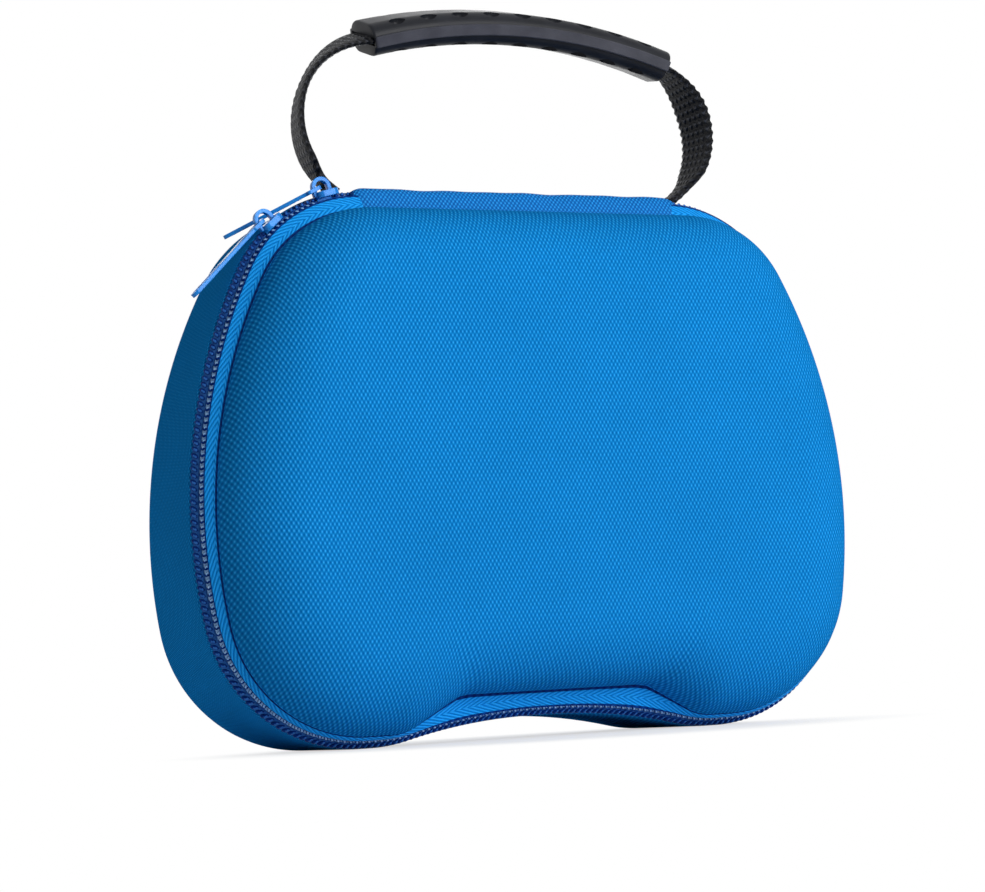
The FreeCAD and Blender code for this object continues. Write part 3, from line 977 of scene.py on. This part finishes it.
def web_corner(i, j):
    """A point of the webbing's closed section: across its outer face, over the selvedge and back."""
    line = handle_line
    point = line[j]
    way = (line[min(j + 1, len(line) - 1)] - line[max(j - 1, 0)]).normalized()
    out = Vector((-way.z, 0, way.x))
    upper = i <= WEB_ACROSS
    share = (i if upper else 2 * WEB_ACROSS + 1 - i) / WEB_ACROSS * 2 - 1
    wide = ease(point.z - SEAM_TOP, FOLD_TOP, FULL_WIDTH_FROM)
    half = ROOT_HALF_WIDTH + (WEB_HALF - ROOT_HALF_WIDTH) * wide
    thick = WEB_THICK * (1 + ROOT_THICKENING * (1 - wide))
    in_grip = len(left_leg) < j < len(left_leg) + len(inside)
    ripple = 0 if in_grip else cos(2 * pi * handle_walk[j] / WEFT_PITCH)
    thick += WEFT_RIPPLE * ripple * (1 - share ** 4)
    half -= SELVEDGE_RIPPLE * ripple
    face = thick * sqrt(max(1 - abs(share) ** 6, 0.05)) * (1 if upper else -1)
    twist = grip_roll(grip_reach * (2 * (j - len(left_leg)) / (len(inside) - 1) - 1))
    for steps, leg, lean in ((j, left_leg, LEFT_TWIST), (len(line) - 1 - j, right_leg, RIGHT_TWIST)):
        if steps < len(leg):
            twist = twist * ease(steps / len(leg), 0.55, 1.0) - lean * sin(pi * steps / len(leg))
    y = share * half
    middle = ROOT_Y + (WEB_Y - ROOT_Y) * wide
    across = Vector((0, middle - WEB_Y + y * cos(twist) - face * sin(twist), 0))
    return point + across + out * (face * cos(twist) + y * sin(twist))


def webbing():
    corners = 2 * WEB_ACROSS + 2
    piece = bend_grid("webbing", corners, len(handle_line) - 1, web_corner,
                      lambda i, j: (handle_walk[j], i / WEB_ACROSS * 2 * WEB_HALF))
    smooth(piece, 70)
    dress(piece, "webbing", "handle_webbing", "case", webbing_cloth)


webbing()

# %% [markdown]
# ## Grip
# The grip is moulded rubber: two rounded lobes with a flat facet standing proud along each side, and rows of
# leaf-shaped recesses along its shoulders. The section is extruded along the arc, the open ends are drawn
# in to the webbing, and one leaf is modelled, copied and cut out with a Boolean.

# %% Grip rubber


def rubber(name, dark, light, low, high):
    grip = Finish(name)
    place = grip.place()
    grain = grip.noise(place, 2600.0)
    wear = grip.noise(place, 140.0, 4.0)
    colour = grip.ramp(wear, (0.3, dark), (0.75, light))
    rough = grip.spread(wear, low, high)
    colour = grip.tint(colour, grip.spread(grain, 0.85, 1.15))
    return grip.done(colour, rough, grip.bump(grain, 0.04 * MM, 0.6), 0.16)


lobe_rubber = rubber("lobe_rubber", (0.0075, 0.0085, 0.012), (0.013, 0.0145, 0.02), 0.34, 0.5)
# Painted sheen: the facets' rubber is several times lighter than the lobes', painted for the light on the
# flat sides.
facet_painted_sheen = rubber("facet_painted_sheen", (0.035, 0.037, 0.05), (0.062, 0.064, 0.082), 0.42, 0.6)

# %% Grip section
BODY_HALF, FACET_HALF = 7.1 * MM, 7.8 * MM
GRIP_HALF_HEIGHT, FACET_HALF_HEIGHT, SHOULDER = 4.3 * MM, 1.5 * MM, 4.0 * MM
FACET_MIDDLE, FACET_EDGE = 0.6 * MM, 0.25 * MM
SHOULDER_STEPS = 9


def grip_section():
    """Corner points of the section as (across, up), mirrored from those of a quarter."""
    centre = (BODY_HALF - SHOULDER, GRIP_HALF_HEIGHT - SHOULDER)
    start = asin((FACET_HALF_HEIGHT - centre[1]) / SHOULDER)
    arc = [start + (pi / 2 - start) * n / SHOULDER_STEPS for n in range(SHOULDER_STEPS + 1)]
    quarter = [(FACET_HALF, FACET_MIDDLE), (FACET_HALF, FACET_HALF_HEIGHT - FACET_EDGE),
               (FACET_HALF - FACET_EDGE, FACET_HALF_HEIGHT)]
    quarter += [(centre[0] + SHOULDER * cos(a), centre[1] + SHOULDER * sin(a)) for a in arc]
    quarter += [(centre[0] * share, GRIP_HALF_HEIGHT) for share in (0.66, 0.33)]
    top = quarter + [(-y, n) for y, n in reversed(quarter)]
    return top + [(-y, -n) for y, n in top]


print("grip section:", len(grip_section()), "points")

# %% Grip body
GRIP_STEPS = 150
SLOT_HALF, SLOT_HALF_HEIGHT = 6.45 * MM, 1.15 * MM
FACET_MARGIN = 0.3 * MM
# The rings of one end: scale of the section, place beyond the end in millimetres, and whether it is the slot.
GRIP_ENDS = ((1.0, 0.0, False), (0.985, 0.25, False), (0.95, 0.5, False), (0.9, 0.6, False),
             (0.0, 0.6, True), (0.0, -5.0, True))


def grip_rings():
    section = grip_section()
    rings = []

    def ring(angle, scale, hole):
        points = []
        for y, n in section:
            if hole:
                y, n = y * SLOT_HALF / FACET_HALF, max(-SLOT_HALF_HEIGHT, min(SLOT_HALF_HEIGHT, n))
            else:
                y, n = y * (1 - (1 - scale) * 0.5), n * scale
            roll = grip_roll(angle)
            up = n * cos(roll) + y * sin(roll)
            side = y * cos(roll) - n * sin(roll)
            points.append(on_grip(angle, GRIP_RADIUS + up) + Vector((0, side, 0)))
        return points

    for scale, out, hole in reversed(GRIP_ENDS):
        rings.append(ring(-grip_reach - out * MM / GRIP_RADIUS, scale, hole))
    for step in range(1, GRIP_STEPS):
        rings.append(ring(grip_reach * (2 * step / GRIP_STEPS - 1), 1.0, False))
    for scale, out, hole in GRIP_ENDS:
        rings.append(ring(grip_reach + out * MM / GRIP_RADIUS, scale, hole))
    return rings


def grip_body():
    rings = grip_rings()
    piece = skin_rings("grip", rings)
    close_ends(piece, 0, len(rings) - 1)
    face_outwards(piece)
    dress(piece, "grip_rubber", "handle_grip", "case", lobe_rubber, facet_painted_sheen)
    # Faces on the flat facets get the lighter rubber with its painted sheen.
    for face in piece.data.polygons:
        reach = face.center - grip_centre
        up = Vector((reach.x, reach.z)).length - GRIP_RADIUS
        roll = grip_roll(atan2(reach.x, reach.z) - GRIP_LEAN)
        side = reach.y * cos(roll) + up * sin(roll)
        face.material_index = int(abs(side) > FACET_HALF - FACET_MARGIN)
    return piece


grip = grip_body()

# %% [markdown]
# ## Leaf recesses
# Each recess is a leaf, pointed at both ends and sunk into the rounded shoulder. A sphere drawn out along one
# axis and pinched to points gives the cutter.

# %% Leaves
LEAF_COUNT, LEAF_PITCH = 9, 9.1 * MM
LEAF_HALVES = (2.5 * MM, 1.5 * MM, 2.1 * MM)
LEAF_TILT = radians(21)


def leaf():
    deselect()
    bpy.ops.mesh.primitive_uv_sphere_add(segments=12, ring_count=12, radius=1, rotation=(0, pi / 2, 0))
    bpy.ops.object.transform_apply(location=False, rotation=True, scale=False)
    piece = bpy.context.object
    piece.name = "leaf"
    for vert in piece.data.vertices:
        pinch = sqrt(max(1 - vert.co.x ** 2, 0.0)) ** 0.8
        vert.co = Vector((vert.co.x * LEAF_HALVES[0], vert.co.y * LEAF_HALVES[1] * pinch,
                          vert.co.z * LEAF_HALVES[2] * pinch))
    return piece


def leaf_places():
    places = []
    for number in range(LEAF_COUNT):
        angle = (number - (LEAF_COUNT - 1) / 2) * LEAF_PITCH / GRIP_RADIUS
        arc = Matrix.Translation(grip_centre) @ Matrix.Rotation(GRIP_LEAN + angle, 4, "Y")
        arc = arc @ Matrix.Translation((0, 0, GRIP_RADIUS)) @ Matrix.Rotation(grip_roll(angle), 4, "X")
        for rear in (-1, 1):
            for upper in (-1, 1):
                tilt = Matrix.Rotation(-rear * upper * LEAF_TILT, 4, "X")
                up = GRIP_HALF_HEIGHT - SHOULDER + SHOULDER * cos(LEAF_TILT)
                side = BODY_HALF - SHOULDER + SHOULDER * sin(LEAF_TILT)
                place = Matrix.Translation((0, rear * side, upper * up))
                places.append(arc @ place @ tilt)
    return places


cutter = leaf()
copies(cutter, leaf_places())
cut = grip.modifiers.new("leaves", "BOOLEAN")
cut.operation = "DIFFERENCE"
cut.solver = "EXACT"
cut.object = cutter
apply_modifiers(grip)
bpy.data.objects.remove(cutter)
smooth(grip, 35)
print("leaves:", len(leaf_places()))

# %% [markdown]
# ## Sliders and pulls
# Two die-cast sliders run on the zip, each with an arch that carries a flat pull. The solids already have the
# right form, so a copy of each is merged, cleared of its triangles and given the soft edges of a casting
# under enamel. Gloss paint on a casting is never quite even, so the finish has a faint orange peel.

# %% Enamel


def enamel():
    paint = Finish("slider_enamel")
    place = paint.place()
    peel = paint.noise(place, 700.0)
    tone = paint.noise(place, 120.0, 3.0)
    colour = paint.ramp(tone, (0.25, (0.003, 0.16, 0.56)), (0.75, (0.006, 0.24, 0.7)))
    rough = paint.spread(peel, 0.2, 0.32)
    more = {"Metallic": 0.05, "Coat Weight": 0.1, "Coat Roughness": 0.08}
    return paint.done(colour, rough, paint.bump(peel, 0.03 * MM, 0.4), 0.14, more)


slider_enamel = enamel()

# %% Cast pieces
EDGE_WIDTHS = {"lower_slider": 0.3 * MM, "upper_slider": 0.3 * MM,
               "lower_pull": 0.28 * MM, "upper_pull": 0.28 * MM}
CAST_MERGE = 0.002 * MM


def casting(node, edge):
    activate(frame["nodes"][node])
    bpy.ops.object.duplicate()
    piece = bpy.context.object
    piece.name = node + "_casting"
    piece.parent = None
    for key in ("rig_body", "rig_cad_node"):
        del piece[key]
    edit_all(piece)
    bpy.ops.mesh.remove_doubles(threshold=CAST_MERGE)
    bpy.ops.mesh.dissolve_limited(angle_limit=radians(3))
    face_outwards(piece)
    soften = piece.modifiers.new("soft edges", "BEVEL")
    soften.width = edge
    soften.segments = 3
    soften.limit_method = "ANGLE"
    soften.angle_limit = radians(40)
    soften.use_clamp_overlap = True
    apply_modifiers(piece)
    smooth(piece, 50)
    dress(piece, "slider_paint", node, node, slider_enamel)


for node, edge in EDGE_WIDTHS.items():
    casting(node, edge)

# %% [markdown]
# ## Camera
# The camera stands low at the front left, as in the photograph, with a long lens and a slight roll.

# %% Camera
PICTURE_WIDTH = 985
FOCAL_PIXELS = 2555.4
SENSOR_WIDTH = 36.0
NEAREST = 0.01
CAMERA_PLACE = Vector((-0.28844, -0.60229, 0.00948))
CAMERA_YAW, CAMERA_PITCH, CAMERA_ROLL = radians(24.74), radians(-5.735), radians(3.491)

ahead = Vector((sin(CAMERA_YAW) * cos(CAMERA_PITCH), cos(CAMERA_YAW) * cos(CAMERA_PITCH), -sin(CAMERA_PITCH)))
level_right = Vector((cos(CAMERA_YAW), -sin(CAMERA_YAW), 0))
level_up = level_right.cross(ahead)
right = level_right * cos(CAMERA_ROLL) - level_up * sin(CAMERA_ROLL)
up = level_right * sin(CAMERA_ROLL) + level_up * cos(CAMERA_ROLL)
deselect()
bpy.ops.object.camera_add()
camera = bpy.context.object
camera.matrix_world = Matrix((right, up, -ahead)).transposed().to_4x4()
camera.location = CAMERA_PLACE
camera.data.sensor_width = SENSOR_WIDTH
camera.data.lens = FOCAL_PIXELS / PICTURE_WIDTH * SENSOR_WIDTH
camera.data.clip_start = NEAREST
bpy.context.scene.camera = camera
print(f"lens {camera.data.lens:.0f} mm")

# %% [markdown]
# ## Floor, world and light
# The background of the photograph is plain white. The floor is pale near the case, where it keeps the shadow,
# and fades to white light further out for the rays that show it directly. Four broad lamps give a soft studio
# light, strongest from the front right.

# %% Direct rays


def seen_directly(tree):
    """1 for rays that show the background itself: to the camera, in gloss and through glass."""
    paths = tree.nodes.new("ShaderNodeLightPath")
    total = paths.outputs["Is Camera Ray"]
    for kind in ("Is Glossy Ray", "Is Transmission Ray"):
        both = tree.nodes.new("ShaderNodeMath")
        both.operation = "MAXIMUM"
        tree.links.new(total, both.inputs[0])
        tree.links.new(paths.outputs[kind], both.inputs[1])
        total = both.outputs[0]
    return total


print("ready: direct rays")

# %% Floor
FLOOR_SIZE = 6.0
SHADOW_NEAR, SHADOW_FAR, SHADOW_SOFT = 0.05, 0.105, 0.6


def pale_floor():
    floor = Finish("pale_floor")
    speck = floor.noise(floor.place(), 300.0)
    colour = floor.ramp(speck, (0.0, (0.86, 0.86, 0.86)), (1.0, (0.9, 0.9, 0.9)))
    floor.done(colour, 0.9, floor.bump(speck, 0.01 * MM, 0.1))
    tree = floor.material.node_tree
    away = floor.add("ShaderNodeVectorMath", {0: floor.place()}, operation="LENGTH").outputs["Value"]
    reach = {"Value": away, "From Min": SHADOW_NEAR, "From Max": SHADOW_FAR, "To Min": SHADOW_SOFT}
    fade = floor.add("ShaderNodeMapRange", reach, interpolation_type="SMOOTHSTEP").outputs["Result"]
    glow = floor.add("ShaderNodeEmission")
    join = floor.add("ShaderNodeMixShader", {"Fac": floor.math("MULTIPLY", fade, seen_directly(tree))})
    floor.links.new(floor.shader.outputs[0], join.inputs[1])
    floor.links.new(glow.outputs[0], join.inputs[2])
    floor.links.new(join.outputs[0], floor.nodes["Material Output"].inputs["Surface"])
    return floor.material


deselect()
bpy.ops.mesh.primitive_plane_add(size=FLOOR_SIZE, location=(0, 0, 0))
bpy.context.object.name = "floor"
bpy.context.object.data.materials.append(pale_floor())

# %% World
WORLD_LIGHT = 0.18
world = bpy.context.scene.world or bpy.data.worlds.new("studio")
bpy.context.scene.world = world
world.use_nodes = True
tree = world.node_tree
strength = tree.nodes.new("ShaderNodeMix")
strength.data_type = "FLOAT"
strength.inputs["A"].default_value = WORLD_LIGHT
strength.inputs["B"].default_value = 1.0
tree.links.new(seen_directly(tree), strength.inputs["Factor"])
tree.links.new(strength.outputs["Result"], tree.nodes["Background"].inputs["Strength"])
tree.nodes["Background"].inputs["Color"].default_value = (1.0, 1.0, 1.0, 1.0)
print("world light:", WORLD_LIGHT)

# %% Lamps
# Each lamp: its name, place and size in metres, and power in watts.
LAMPS = (("key", (0.3, -1.0, 0.38), 0.6, 9.9), ("top", (0.2, -0.25, 1.1), 0.9, 0.4),
         ("rim", (-0.75, 0.45, 0.5), 0.7, 0.6), ("back", (0.5, 0.95, 0.45), 0.8, 5.0))
LAMP_AIM = Vector((0, 0, 0.09))
for name, place, size, power in LAMPS:
    bpy.ops.object.light_add(type="AREA", location=place)
    lamp = bpy.context.object
    lamp.name = name
    lamp.data.size = size
    lamp.data.energy = power
    lamp.rotation_euler = (LAMP_AIM - Vector(place)).to_track_quat("-Z", "Y").to_euler()
bpy.context.scene.view_settings.view_transform = "Standard"
print("lamps:", len(LAMPS))
